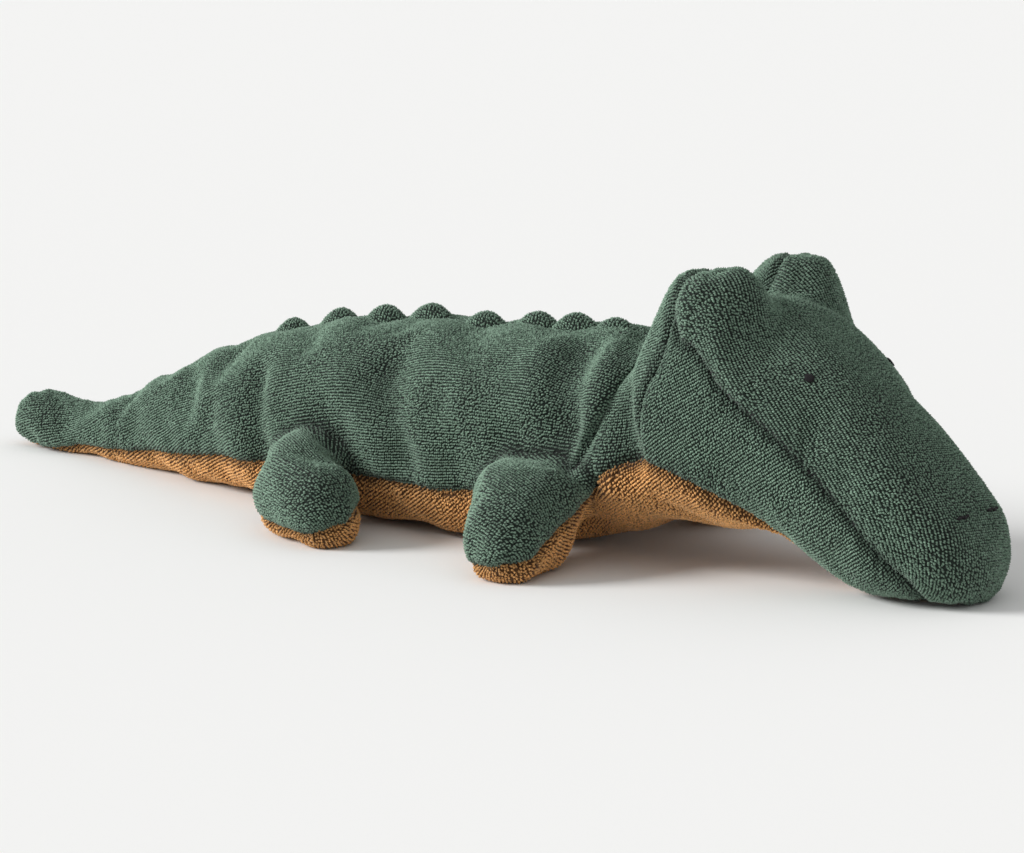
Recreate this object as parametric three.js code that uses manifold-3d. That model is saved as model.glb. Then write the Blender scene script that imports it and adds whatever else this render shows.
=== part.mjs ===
// Plush crocodile lying on its belly: fibre-filled forms under a cover of green and ochre terry cloth.
// Millimetres. +X runs to the snout, +Y to the animal's left, +Z is up and the floor is z = 0.
import * as THREE from "three";
import Module from "manifold-3d";
import { mergeVertices } from "three/addons/utils/BufferGeometryUtils.js";

const wasm = await Module();
wasm.setup();

// Overall sizes
const toyLength = 522;
const backHeight = 84;
const trunkHalfWidth = 48;
const crownHeight = 107;
const headHalfWidth = 48;

// Cloth, clearances and the flat that the filling's weight presses on the floor
const coverThickness = 2;
const seamGap = 0.3;
const layerGap = 0.3;
const seatGap = 0.3;
const floorCut = 0.5;

// Where the forms bend, along toyLength, and the turn in degrees that the open band there gives room for
const tipBendPlace = { share: -0.364, room: 24 };
const tailBendPlace = { share: -0.207, room: 20 };
const neckBendPlace = { share: 0.207, room: 27 };
const ballWall = 4.5;

// Hips: the ball of a leg sits half in the side of the torso, clear of the floor
const frontHipShare = 0.144;
const hindHipShare = -0.061;
const hipRadius = 19;
const hipFloorGap = 3;
const hipInset = 1;
const rootStart = 4;
const frontLegLength = 53;
const frontLegHeading = 28;
const hindLegReach = 34;
const hindFootLength = 46;
const legHalfWidth = 20;
const legHeight = 39;

// Eye bumps, eyes, nostrils and the scallops of the back: along toyLength, across headHalfWidth, own sizes
const bump = { alongShare: 0.297, acrossShare: 0.6, height: 13, length: 15, width: 12 };
const eye = { alongShare: 0.374, acrossShare: 0.48, halfLength: 1.7, halfWidth: 1.7, halfThickness: 0.6 };
const nostril = { alongShare: 0.473, acrossShare: 0.2, halfLength: 0.8, halfWidth: 3.2, halfThickness: 0.5 };
const scallop = { halfLength: 9.6, height: 9.5, halfThickness: 4.6 };
const napeLength = 22;

// Section shape: height of the widest line, and how square the sides are
const middleShare = 0.42;
const squareShare = 0.8;

// Tail and torso: along (of toyLength), half-width (of trunkHalfWidth), top, bottom and seam (of backHeight)
const trunkShares = [
  [-0.5, 0.06, 0.18, 0.11, 0.14],
  [-0.49, 0.18, 0.24, 0.045, 0.125],
  [-0.471, 0.25, 0.285, 0.005, 0.11],
  [-0.437, 0.275, 0.28, 0, 0.1],
  [-0.398, 0.285, 0.268, 0, 0.095],
  [-0.364, 0.34, 0.333, 0, 0.095],
  [-0.326, 0.42, 0.44, 0, 0.105],
  [-0.274, 0.56, 0.571, 0, 0.14],
  [-0.228, 0.69, 0.685, 0, 0.17],
  [-0.184, 0.8, 0.77, 0, 0.2],
  [-0.134, 0.917, 0.85, 0, 0.22],
  [-0.077, 0.98, 0.917, 0, 0.24],
  [0, 1, 0.95, 0, 0.245],
  [0.057, 1, 0.965, 0, 0.245],
  [0.115, 0.98, 0.99, 0, 0.26],
  [0.153, 0.95, 1, 0.05, 0.3],
  [0.19, 0.92, 1, 0.12, 0.36],
  [0.21, 0.91, 1.01, 0.14, 0.39],
];

// Head: along (of toyLength), half-width (of headHalfWidth), top, bottom, chin seam, top seam (of crownHeight)
const headShares = [
  [0.22, 0.97, 0.86, 0.12, 0.33, 0.75],
  [0.249, 0.99, 0.92, 0.125, 0.38, 0.82],
  [0.27, 1, 0.965, 0.12, 0.35, 0.87],
  [0.299, 0.98, 0.98, 0.105, 0.3, 0.74],
  [0.33, 0.93, 0.92, 0.085, 0.25, 0.6],
  [0.364, 0.865, 0.8, 0.06, 0.19, 0.49],
  [0.398, 0.79, 0.655, 0.03, 0.14, 0.36],
  [0.431, 0.71, 0.505, 0, 0.1, 0.225],
  [0.46, 0.6, 0.375, 0, 0.09, 0.13],
  [0.479, 0.48, 0.285, 0.02, 0.09, 0.12],
  [0.492, 0.3, 0.22, 0.06, 0.11, 0.13],
  [0.5, 0.08, 0.16, 0.11, 0.125, 0.135],
];

// Legs: along (of the leg's line), half-width (of legHalfWidth), top, bottom and seam (of legHeight)
const frontLegShares = [
  [0.23, 0.85, 0.97, 0.07, 0.46],
  [0.36, 0.98, 1, 0, 0.42],
  [0.58, 1, 0.92, 0, 0.36],
  [0.78, 0.93, 0.8, 0, 0.31],
  [0.92, 0.68, 0.66, 0.03, 0.3],
  [1, 0.2, 0.42, 0.24, 0.33],
];
const hindLegShares = [
  [0.15, 0.84, 0.98, 0.07, 0.4],
  [0.33, 0.93, 0.97, 0, 0.32],
  [0.55, 0.9, 0.87, 0, 0.27],
  [0.76, 0.82, 0.78, 0, 0.27],
  [0.92, 0.62, 0.7, 0.03, 0.32],
  [1, 0.2, 0.48, 0.26, 0.37],
];

// Scallops: along (of toyLength), from the tail on; the front ones stand edge to edge up to the neck
const scallopShares = [-0.163, -0.111, -0.063, -0.015, 0.04];
const lastScallopShare = 0.1665;
const edgeToEdgeScallops = 3;

// Steps along the forms and round them
const lengthSteps = { tail: 5, torso: 9, nape: 2, face: 9 };
const steps = { side: 5, belly: 3, cheek: 3, crown: 8, chin: 2, legTop: 3, sole: 2 };
const ballSegments = 16;
const scallopSegments = 12;
const threadSegments = 8;

const fullTurn = 2 * Math.PI;
const underAngle = 0.75 * fullTurn;
const leastTurn = 0.2;
const steepestSine = 0.98;
const snoutRows = 3;
const probeShare = 0.001;

function terry(color) {
  return new THREE.MeshStandardMaterial({ color, roughness: 0.95, metalness: 0 });
}

const greenTerry = terry(0x5f7163);
const ochreTerry = terry(0xa87d4d);
const fibreFilling = new THREE.MeshStandardMaterial({ color: 0xe9e6df, roughness: 1, metalness: 0 });
const blackThread = new THREE.MeshStandardMaterial({ color: 0x1c1b1c, roughness: 0.6, metalness: 0 });

const toy = new THREE.Group();

function addPart(name, solid, material) {
  const { numProp, vertProperties, triVerts } = solid.getMesh();
  const geometry = new THREE.BufferGeometry();
  geometry.setAttribute("position", new THREE.BufferAttribute(new Float32Array(vertProperties), numProp));
  geometry.setIndex(new THREE.BufferAttribute(new Uint32Array(triVerts), 1));
  geometry.computeVertexNormals();
  const mesh = new THREE.Mesh(geometry, material);
  mesh.name = name;
  toy.add(mesh);
}

function solidOf(vertProperties, triVerts) {
  const mesh = new wasm.Mesh({
    numProp: 3,
    vertProperties: new Float32Array(vertProperties),
    triVerts: new Uint32Array(triVerts),
  });
  return new wasm.Manifold(mesh);
}

function solidFromGeometry(geometry) {
  geometry.deleteAttribute("normal");
  geometry.deleteAttribute("uv");
  const merged = mergeVertices(geometry);
  return solidOf(merged.attributes.position.array, merged.index.array);
}

function ball(center, radius, turn = 0) {
  const sphere = new THREE.SphereGeometry(radius, ballSegments, ballSegments / 2);
  sphere.rotateX(Math.PI / 2).rotateZ(turn);
  return solidFromGeometry(sphere.translate(center.x, center.y, center.z));
}

// The hollow that a ball turns in: its flats clear the ball's corners at every angle
function socket(center, radius) {
  const halfStep = Math.PI / ballSegments;
  return ball(center, (radius + seatGap) / Math.cos(halfStep) ** 2, halfStep);
}

// Catmull-Rom reading of one column of a table of shares, at a place in its first column
function readShare(table, column, along) {
  const last = table.length - 1;
  const after = Math.min(last, Math.max(1, table.findIndex((row) => row[0] >= along)));
  const before = after - 1;
  const t = (along - table[before][0]) / (table[after][0] - table[before][0]);
  const [a, b, c, d] = [before - 1, before, after, after + 1].map(
    (index) => table[Math.min(last, Math.max(0, index))][column],
  );
  const slopeIn = (c - a) / 2;
  const slopeOut = (d - b) / 2;
  const cubic = 2 * (b - c) + slopeIn + slopeOut;
  const square = 3 * (c - b) - 2 * slopeIn - slopeOut;
  return ((cubic * t + square) * t + slopeIn) * t + b;
}

// Heights below this line of the floor are pressed flat
function pressed(height) {
  return height - floorCut;
}

function trunkStation(x) {
  const read = (column) => readShare(trunkShares, column, x / toyLength);
  return {
    x,
    y: 0,
    heading: 0,
    halfWidth: read(1) * trunkHalfWidth,
    top: read(2) * backHeight,
    bottom: pressed(read(3) * backHeight),
    seam: read(4) * backHeight,
    end: x <= -toyLength / 2 ? -1 : 0,
  };
}

function headStation(x) {
  const read = (column) => readShare(headShares, column, x / toyLength);
  return {
    x,
    y: 0,
    heading: 0,
    halfWidth: read(1) * headHalfWidth,
    top: read(2) * crownHeight,
    bottom: pressed(read(3) * crownHeight),
    seam: read(4) * crownHeight,
    topSeam: read(5) * crownHeight,
    bumped: true,
    end: x >= toyLength / 2 ? 1 : 0,
  };
}

function legStation(line, shares, row) {
  const place = line.getPointAt(row[0]);
  const way = line.getTangentAt(row[0]);
  return {
    x: place.x,
    y: place.y,
    heading: Math.atan2(way.y, way.x),
    halfWidth: row[1] * legHalfWidth,
    top: row[2] * legHeight,
    bottom: pressed(row[3] * legHeight),
    seam: row[4] * legHeight,
    end: row === shares.at(-1) ? 1 : 0,
  };
}

// Eye bumps: two round swells on top of the head
function bumpLift(x, across) {
  const forward = (x - bump.alongShare * toyLength) / bump.length;
  const sideways = (Math.abs(across) - bump.acrossShare * headHalfWidth) / bump.width;
  return bump.height * Math.exp(-forward * forward - sideways * sideways);
}

function middleOf(station) {
  return station.bottom + (station.top - station.bottom) * middleShare;
}

// A point of the cover: angle 0 is the right side, a quarter turn the top, half a turn the left side;
// the inset moves it inwards, and no inset reaches lower than itself above the floor
function coverPoint(station, angle, inset) {
  const middle = middleOf(station);
  const across = Math.cos(angle);
  const rise = Math.sin(angle);
  const shape = Math.sign(across) * Math.abs(across) ** squareShare;
  const reach = rise > 0 ? station.top - middle : middle - station.bottom;
  const lift = station.bumped && rise > 0 ? bumpLift(station.x, station.halfWidth * shape) * rise : 0;
  const sideways = -(station.halfWidth - inset) * shape;
  const forward = -station.end * inset;
  const height = middle + (reach - inset) * rise + lift;
  const cos = Math.cos(station.heading);
  const sin = Math.sin(station.heading);
  return [
    station.x + forward * cos - sideways * sin,
    station.y + forward * sin + sideways * cos,
    Math.max(height, inset),
  ];
}

// The angle at which a height lies on the right side of a station
function angleAt(station, height) {
  const middle = middleOf(station);
  const reach = height > middle ? station.top - middle : middle - station.bottom;
  return Math.asin(THREE.MathUtils.clamp((height - middle) / reach, -steepestSine, steepestSine));
}

function spread(from, to, count) {
  return Array.from({ length: count + 1 }, (_, index) => from + ((to - from) * index) / count);
}

// Half the turn that the floor presses flat, or a small one where the form is clear of the floor
function flatTurn(station) {
  const middle = middleOf(station);
  return Math.max(leastTurn, Math.acos(Math.min(1, middle / (middle - station.bottom))));
}

// Angles round a station, seam by seam, starting at the right seam
function anglesRound(station, counts) {
  const low = angleAt(station, station.seam);
  const flat = flatTurn(station);
  const marks = [low];
  if (station.topSeam) {
    const high = Math.max(angleAt(station, station.topSeam), low + leastTurn);
    marks.push(high, Math.PI - high);
  } else {
    marks.push(Math.PI / 2);
  }
  marks.push(Math.PI - low, underAngle - flat, underAngle + flat, fullTurn + low);
  return marks.slice(1).flatMap((mark, index) => {
    const part = spread(marks[index], mark, counts[index]);
    return index === 0 ? part : part.slice(1);
  });
}

// Steps between the marks of anglesRound; the pressed flat is the one step in the middle of the underside
const trunkCounts = [steps.side, steps.side, steps.belly, 1, steps.belly];
const headCounts = [steps.cheek, steps.crown, steps.cheek, steps.chin, 1, steps.chin];
const legCounts = [steps.legTop, steps.legTop, steps.sole, 1, steps.sole];

// One closed body between an outer and an inner sheet of points
function slab(outer, inner) {
  const rows = outer.length;
  const columns = outer[0].length;
  const points = [...outer, ...inner].flat(2);
  const out = (row, column) => row * columns + column;
  const back = (row, column) => (rows + row) * columns + column;
  const faces = [];
  const quad = (a, b, c, d) => faces.push(a, b, c, a, c, d);
  for (let row = 0; row < rows - 1; row += 1) {
    for (let column = 0; column < columns - 1; column += 1) {
      quad(out(row, column), out(row + 1, column), out(row + 1, column + 1), out(row, column + 1));
      quad(back(row, column), back(row, column + 1), back(row + 1, column + 1), back(row + 1, column));
    }
    quad(out(row, 0), back(row, 0), back(row + 1, 0), out(row + 1, 0));
    quad(out(row, columns - 1), out(row + 1, columns - 1), back(row + 1, columns - 1), back(row, columns - 1));
  }
  for (let column = 0; column < columns - 1; column += 1) {
    quad(out(0, column), out(0, column + 1), back(0, column + 1), back(0, column));
    quad(out(rows - 1, column), back(rows - 1, column), back(rows - 1, column + 1), out(rows - 1, column + 1));
  }
  return solidOf(points, faces);
}

// A panel of the cover over some stations, from one column of angles to another
function panel(stations, counts, from, to) {
  const sheet = (inset) =>
    stations.map((station) => {
      const angles = anglesRound(station, counts).slice(from, to + 1);
      const trim = seamGap / 2 / station.halfWidth;
      angles[0] += trim;
      angles[angles.length - 1] -= trim;
      return angles.map((angle) => coverPoint(station, angle, inset));
    });
  return slab(sheet(0), sheet(coverThickness));
}

// The filled form inside the cover, or with a negative inset the space round it
function form(stations, counts, inset) {
  const rings = stations.map((station) =>
    anglesRound(station, counts)
      .slice(0, -1)
      .map((angle) => coverPoint(station, angle, inset)),
  );
  const around = rings[0].length;
  const points = rings.flat(2);
  const faces = [];
  for (let row = 0; row < rings.length - 1; row += 1) {
    for (let column = 0; column < around; column += 1) {
      const next = (column + 1) % around;
      const [a, b] = [row * around + column, (row + 1) * around + column];
      const [c, d] = [(row + 1) * around + next, row * around + next];
      faces.push(a, b, c, a, c, d);
    }
  }
  const last = (rings.length - 1) * around;
  [rings[0], rings.at(-1)].forEach((ring) => points.push(...centerOf(ring)));
  const rear = rings.length * around;
  const front = rear + 1;
  for (let column = 0; column < around; column += 1) {
    const next = (column + 1) % around;
    faces.push(rear, column, next, front, last + next, last + column);
  }
  return solidOf(points, faces);
}

function centerOf(ring) {
  return [0, 1, 2].map((axis) => ring.reduce((sum, point) => sum + point[axis], 0) / ring.length);
}

const fillingInset = coverThickness + layerGap;
const hipHeight = hipRadius + hipFloorGap;

// A hip: the place on the torso's side, a little way in, that the leg swings about
function hipAt(share, side) {
  const station = trunkStation(share * toyLength);
  const outer = Math.abs(coverPoint(station, angleAt(station, hipHeight), 0)[1]);
  return { x: station.x, y: side * (outer - hipInset), z: hipHeight };
}

// The legs' centre lines, seen from above
function frontLegLine(hip, side) {
  const heading = THREE.MathUtils.degToRad(frontLegHeading);
  const foot = new THREE.Vector2(Math.sin(heading), side * Math.cos(heading)).multiplyScalar(frontLegLength);
  const start = new THREE.Vector2(hip.x, hip.y);
  return new THREE.LineCurve(start, foot.add(start));
}

function hindLegLine(hip, side) {
  const outer = hip.y + side * hindLegReach;
  const toe = new THREE.Vector2(hip.x + hindFootLength, outer);
  return new THREE.QuadraticBezierCurve(new THREE.Vector2(hip.x, hip.y), new THREE.Vector2(hip.x, outer), toe);
}

function legOf(name, share, side, lineOf, shares) {
  const hip = hipAt(share, side);
  return { name, hip, line: lineOf(hip, side), shares };
}

const legs = [
  legOf("front_leg_right", frontHipShare, -1, frontLegLine, frontLegShares),
  legOf("front_leg_left", frontHipShare, 1, frontLegLine, frontLegShares),
  legOf("hind_leg_right", hindHipShare, -1, hindLegLine, hindLegShares),
  legOf("hind_leg_left", hindHipShare, 1, hindLegLine, hindLegShares),
];

function addLeg({ name, hip, line, shares }) {
  const stations = shares.map((row) => legStation(line, shares, row));
  const root = legStation(line, shares, shares[0]);
  const rootPlace = line.getPointAt(rootStart / line.getLength());
  const core = form([{ ...root, x: rootPlace.x, y: rootPlace.y }, ...stations], legCounts, fillingInset);
  const rootHollow = ball(hip, hipRadius + seatGap);
  const topEnd = 2 * steps.legTop;
  const around = topEnd + 2 * steps.sole + 1;
  addPart(`${name}_filling`, core.add(ball(hip, hipRadius)), fibreFilling);
  addPart(`${name}_top`, panel(stations, legCounts, 0, topEnd).subtract(rootHollow), greenTerry);
  addPart(`${name}_sole`, panel(stations, legCounts, topEnd, around).subtract(rootHollow), ochreTerry);
}

// One stretch of the trunk: its filling, two side panels and an under panel
function addTrunk(name, underName, stations, shapeFilling, shapeCover) {
  const [back, left] = [steps.side, 2 * steps.side];
  const around = left + 2 * steps.belly + 1;
  addPart(`${name}_filling`, shapeFilling(form(stations, trunkCounts, fillingInset)), fibreFilling);
  addPart(`${name}_side_right`, shapeCover(panel(stations, trunkCounts, 0, back)), greenTerry);
  addPart(`${name}_side_left`, shapeCover(panel(stations, trunkCounts, back, left)), greenTerry);
  addPart(underName, shapeCover(panel(stations, trunkCounts, left, around)), ochreTerry);
}

// The ball that joins two forms where they bend fills the section, less a wall all round
function bendAt(place, stationBefore, stationAfter) {
  const x = place.share * toyLength;
  const halfTurn = THREE.MathUtils.degToRad(place.room / 2);
  const halfBand = stationBefore(x).halfWidth * Math.tan(halfTurn);
  const rims = [stationBefore(x - halfBand), stationAfter(x + halfBand)];
  const top = Math.min(...rims.map((rim) => rim.top));
  const bottom = Math.max(...rims.map((rim) => rim.bottom));
  const room = Math.min((top - bottom) / 2, ...rims.map((rim) => rim.halfWidth));
  return { x, y: 0, z: (top + bottom) / 2, radius: room - ballWall, halfBand };
}

const tipBend = bendAt(tipBendPlace, trunkStation, trunkStation);
const tailBend = bendAt(tailBendPlace, trunkStation, trunkStation);
const neckBend = bendAt(neckBendPlace, trunkStation, headStation);
const tipStart = tipBend.x - tipBend.halfBand;
const tailStart = tipBend.x + tipBend.halfBand;
const tailEnd = tailBend.x - tailBend.halfBand;
const torsoStart = tailBend.x + tailBend.halfBand;
const torsoEnd = neckBend.x - neckBend.halfBand;
const headStart = neckBend.x + neckBend.halfBand;
const tailTip = -toyLength / 2;
const tipRows = trunkShares.map((row) => row[0] * toyLength).filter((x) => x < tipStart);

function addTail() {
  const tipStations = [...tipRows, tipStart].map(trunkStation);
  const joinTip = (solid) => solid.add(ball(tipBend, tipBend.radius));
  addTrunk("tail_tip", "tail_tip_under", tipStations, joinTip, (cover) => cover);
  const tipSocket = socket(tipBend, tipBend.radius);
  const stations = spread(tailStart, tailEnd, lengthSteps.tail).map(trunkStation);
  const joinTail = (solid) => solid.subtract(tipSocket).add(ball(tailBend, tailBend.radius));
  addTrunk("tail", "tail_under", stations, joinTail, (cover) => cover.subtract(tipSocket));
}

function addTorso() {
  const stations = spread(torsoStart, torsoEnd, lengthSteps.torso).map(trunkStation);
  const sockets = [tailBend, neckBend].map((bend) => socket(bend, bend.radius));
  sockets.push(...legs.map((leg) => socket(leg.hip, hipRadius)));
  const hollow = (solid) => sockets.reduce((rest, cut) => rest.subtract(cut), solid);
  addTrunk("torso", "torso_belly", stations, hollow, hollow);
  return form(stations, trunkCounts, -seatGap);
}

function addNeck() {
  addPart("neck_filling", ball(neckBend, neckBend.radius), fibreFilling);
}

function addHead() {
  const napeEnd = headStart + napeLength;
  const faceEnd = headShares.at(-1 - snoutRows)[0] * toyLength;
  const snoutXs = headShares.slice(-snoutRows).map((row) => row[0] * toyLength);
  const napeStations = spread(headStart, napeEnd, lengthSteps.nape).map(headStation);
  const faceStations = [...spread(napeEnd + seamGap, faceEnd, lengthSteps.face), ...snoutXs].map(headStation);
  const allStations = [...napeStations, ...faceStations];
  const neckSocket = socket(neckBend, neckBend.radius);
  const [cheekEnd, topEnd] = [steps.cheek, steps.cheek + steps.crown];
  const leftEnd = topEnd + steps.cheek;
  const around = leftEnd + 2 * steps.chin + 1;
  addPart("head_filling", form(allStations, headCounts, fillingInset).subtract(neckSocket), fibreFilling);
  addPart("nape_panel", panel(napeStations, headCounts, 0, leftEnd).subtract(neckSocket), greenTerry);
  addPart("cheek_right", panel(faceStations, headCounts, 0, cheekEnd), greenTerry);
  addPart("head_top_panel", panel(faceStations, headCounts, cheekEnd, topEnd), greenTerry);
  addPart("cheek_left", panel(faceStations, headCounts, topEnd, leftEnd), greenTerry);
  addPart("chin_panel", panel(allStations, headCounts, leftEnd, around).subtract(neckSocket), ochreTerry);
}

// Half-round stuffed scallops standing on the back seam
function addScallops(backForm) {
  const pitch = 2 * scallop.halfLength + seamGap;
  const places = scallopShares.map((share) => share * toyLength);
  for (let ahead = edgeToEdgeScallops - 1; ahead >= 0; ahead -= 1) {
    places.push(lastScallopShare * toyLength - ahead * pitch);
  }
  places.forEach((x, index) => {
    const swell = new THREE.SphereGeometry(1, scallopSegments, scallopSegments);
    swell.scale(scallop.halfLength, scallop.halfThickness, scallop.height);
    swell.translate(x, 0, trunkStation(x).top);
    addPart(`spine_scallop_${index + 1}`, solidFromGeometry(swell).subtract(backForm), greenTerry);
  });
}

// A lens of embroidery thread lying on the head, on one side of it
function addStitch(name, stitch, side) {
  const x = stitch.alongShare * toyLength;
  const station = headStation(x);
  const shape = (stitch.acrossShare * headHalfWidth) / station.halfWidth;
  const rightAngle = Math.acos(shape ** (1 / squareShare));
  const angle = side < 0 ? rightAngle : Math.PI - rightAngle;
  const at = (along, turn) => new THREE.Vector3(...coverPoint(headStation(along), turn, 0));
  const place = at(x, angle);
  const forward = at(x + toyLength * probeShare, angle).sub(place);
  const around = at(x, angle + fullTurn * probeShare).sub(place);
  const outward = forward.clone().cross(around).normalize();
  const sideways = outward.clone().cross(forward).normalize();
  const along = sideways.clone().cross(outward);
  const lens = new THREE.SphereGeometry(1, threadSegments, threadSegments);
  lens.scale(stitch.halfLength, stitch.halfWidth, stitch.halfThickness);
  lens.applyMatrix4(new THREE.Matrix4().makeBasis(along, sideways, outward));
  place.addScaledVector(outward, stitch.halfThickness + seatGap);
  addPart(name, solidFromGeometry(lens.translate(place.x, place.y, place.z)), blackThread);
}

addTail();
const backForm = addTorso();
addNeck();
addHead();
legs.forEach(addLeg);
addScallops(backForm);
addStitch("eye_right", eye, -1);
addStitch("eye_left", eye, 1);
addStitch("nostril_right", nostril, -1);
addStitch("nostril_left", nostril, 1);

export default toy;
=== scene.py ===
# Plush crocodile: panels of looped terry cloth, stuffed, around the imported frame.
# Metres in the scene, millimetres in the values below. +X runs to the snout, +Y to the animal's left.
import math
from functools import partial

import bmesh
import bpy
import numpy as np
from mathutils import Matrix, Vector, kdtree


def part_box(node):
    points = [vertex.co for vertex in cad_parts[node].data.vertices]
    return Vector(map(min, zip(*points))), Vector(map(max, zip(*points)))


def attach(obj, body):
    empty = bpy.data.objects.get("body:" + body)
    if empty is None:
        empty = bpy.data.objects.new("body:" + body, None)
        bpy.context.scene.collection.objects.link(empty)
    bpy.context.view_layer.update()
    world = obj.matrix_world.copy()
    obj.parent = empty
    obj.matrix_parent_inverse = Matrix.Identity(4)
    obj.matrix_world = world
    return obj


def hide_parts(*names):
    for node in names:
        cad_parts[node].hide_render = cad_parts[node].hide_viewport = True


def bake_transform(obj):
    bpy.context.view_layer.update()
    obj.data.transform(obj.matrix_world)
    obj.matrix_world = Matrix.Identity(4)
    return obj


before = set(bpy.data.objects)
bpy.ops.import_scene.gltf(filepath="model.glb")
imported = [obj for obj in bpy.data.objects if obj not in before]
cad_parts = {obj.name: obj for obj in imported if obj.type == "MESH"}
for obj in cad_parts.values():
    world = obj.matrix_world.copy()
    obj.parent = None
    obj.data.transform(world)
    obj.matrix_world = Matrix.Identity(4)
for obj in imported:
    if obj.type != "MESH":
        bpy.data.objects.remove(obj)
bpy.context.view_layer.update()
mm = 0.001

# Camera, floor and lights
studio = {
    "target": (34, 0, 40),
    "azimuth": 40,  # degrees, from the toy's right towards its snout
    "elevation": 10,
    "distance": 1265,
    "lens": 111.1,
    "sightTo": 100,  # metres
    "floorSize": 16000,
    "floor": {"Base Color": (0.9, 0.9, 0.89, 1), "Roughness": 0.9, "Specular IOR Level": 0.1},
    "keyStrength": 3.1,
    "keyAngle": 24,  # degrees across, so its shadows have soft edges
    "keyFrom": (-0.64, -0.62, 0.45),  # the left of the picture and above
    "skyStrength": 0.55,
}


def makeStudio():
    scene = bpy.context.scene
    scene.view_settings.view_transform = "Standard"
    turn = math.radians(studio["azimuth"])
    rise = math.radians(studio["elevation"])
    back = Vector((math.sin(turn) * math.cos(rise), -math.cos(turn) * math.cos(rise), math.sin(rise)))
    camera = bpy.data.objects.new("camera", bpy.data.cameras.new("camera"))
    camera.location = (Vector(studio["target"]) + back * studio["distance"]) * mm
    camera.rotation_euler = back.to_track_quat("Z", "Y").to_euler()
    camera.data.lens = studio["lens"]
    camera.data.clip_end = studio["sightTo"]
    scene.collection.objects.link(camera)
    scene.camera = camera

    key = bpy.data.objects.new("key", bpy.data.lights.new("key", "SUN"))
    key.data.energy = studio["keyStrength"]
    key.data.angle = math.radians(studio["keyAngle"])
    key.rotation_euler = Vector(studio["keyFrom"]).to_track_quat("Z", "Y").to_euler()
    scene.collection.objects.link(key)
    makeSky(scene)

    bm = bmesh.new()
    bmesh.ops.create_grid(bm, x_segments=1, y_segments=1, size=studio["floorSize"] * mm / 2)
    floor = newObject("floor", bm)
    floor.data.materials.append(newMaterial("paleFloor", studio["floor"]))
    print("studio: camera, key light, sky and floor")


def makeSky(scene):
    world = bpy.data.worlds.new("sky")
    world.use_nodes = True
    scene.world = world
    world.node_tree.nodes.clear()
    add = partial(addNode, world.node_tree)
    path = add("ShaderNodeLightPath").outputs
    bounced = add("ShaderNodeMath", {0: path["Is Glossy Ray"], 1: path["Is Transmission Ray"]},
                  operation="MAXIMUM").outputs[0]
    seen = add("ShaderNodeMath", {0: path["Is Camera Ray"], 1: bounced}, operation="MAXIMUM").outputs[0]
    white = (1, 1, 1, 1)
    light = add("ShaderNodeBackground", {"Color": white, "Strength": studio["skyStrength"]}).outputs[0]
    backdrop = add("ShaderNodeBackground", {"Color": white, "Strength": 1}).outputs[0]
    mixed = add("ShaderNodeMixShader", {0: seen, 1: light, 2: backdrop}).outputs[0]
    add("ShaderNodeOutputWorld", {"Surface": mixed})


def addNode(tree, kind, inputs=None, **settings):
    node = tree.nodes.new(kind)
    for name, value in settings.items():
        setattr(node, name, value)
    for key, value in (inputs or {}).items():
        if isinstance(value, bpy.types.NodeSocket):
            tree.links.new(value, node.inputs[key])
        else:
            node.inputs[key].default_value = value
    return node


def newObject(name, bm):
    mesh = bpy.data.meshes.new(name)
    bm.to_mesh(mesh)
    bm.free()
    obj = bpy.data.objects.new(name, mesh)
    bpy.context.scene.collection.objects.link(obj)
    return obj


def finished(name, bm, material):
    for face in bm.faces:
        face.smooth = True
    obj = newObject(name, bm)
    obj.data.materials.append(material)
    return obj


def newMaterial(name, values):
    material = bpy.data.materials.new(name)
    material.use_nodes = True
    shader = material.node_tree.nodes["Principled BSDF"]
    for title, value in values.items():
        shader.inputs[title].default_value = value
    return material


# The stuffed form: shares of the toy's length, of its half width and of its height
toy = {
    "length": 522,
    "halfWidth": 48,
    "backHeight": 84,
    "crownHeight": 107,
    "middleShare": 0.42,  # how high a section is widest
    "squareShare": 0.8,  # 1 gives ellipses, less gives squarer sections
    "lowSquares": (  # place along, the same for the lower half
        (-160, 0.8), (-60, 0.5), (55, 0.5), (95, 1), (150, 1), (190, 0.8)),
    "headSquareShare": 0.56,
    "headFrom": 120, "headTo": 150,  # the stretch over which the sections grow squarer
    "flankShare": 0.33,  # from the side seam to the top, where the legs' upper edge lies
    "steepest": 0.98,  # sine of the highest and lowest angle of a seam
}
trunkShares = [  # place along, half width, top, bottom, side seam
    (-0.5, 0.06, 0.18, 0.11, 0.115), (-0.49, 0.18, 0.24, 0.045, 0.055), (-0.471, 0.25, 0.285, 0.005, 0.018),
    (-0.437, 0.275, 0.28, 0, 0.022), (-0.398, 0.285, 0.268, 0, 0.048), (-0.364, 0.34, 0.342, 0, 0.07),
    (-0.326, 0.42, 0.43, 0, 0.095), (-0.274, 0.56, 0.571, 0, 0.138), (-0.228, 0.69, 0.685, 0, 0.17),
    (-0.184, 0.8, 0.77, 0, 0.2), (-0.134, 0.917, 0.85, 0, 0.22), (-0.077, 0.98, 0.917, 0, 0.24),
    (0, 1, 0.95, 0, 0.245), (0.057, 1, 0.965, 0, 0.245), (0.115, 0.98, 0.99, 0, 0.26),
    (0.153, 0.95, 1, 0.05, 0.27), (0.19, 0.92, 1, 0.12, 0.31), (0.21, 0.91, 1.01, 0.14, 0.37),
]
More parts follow.
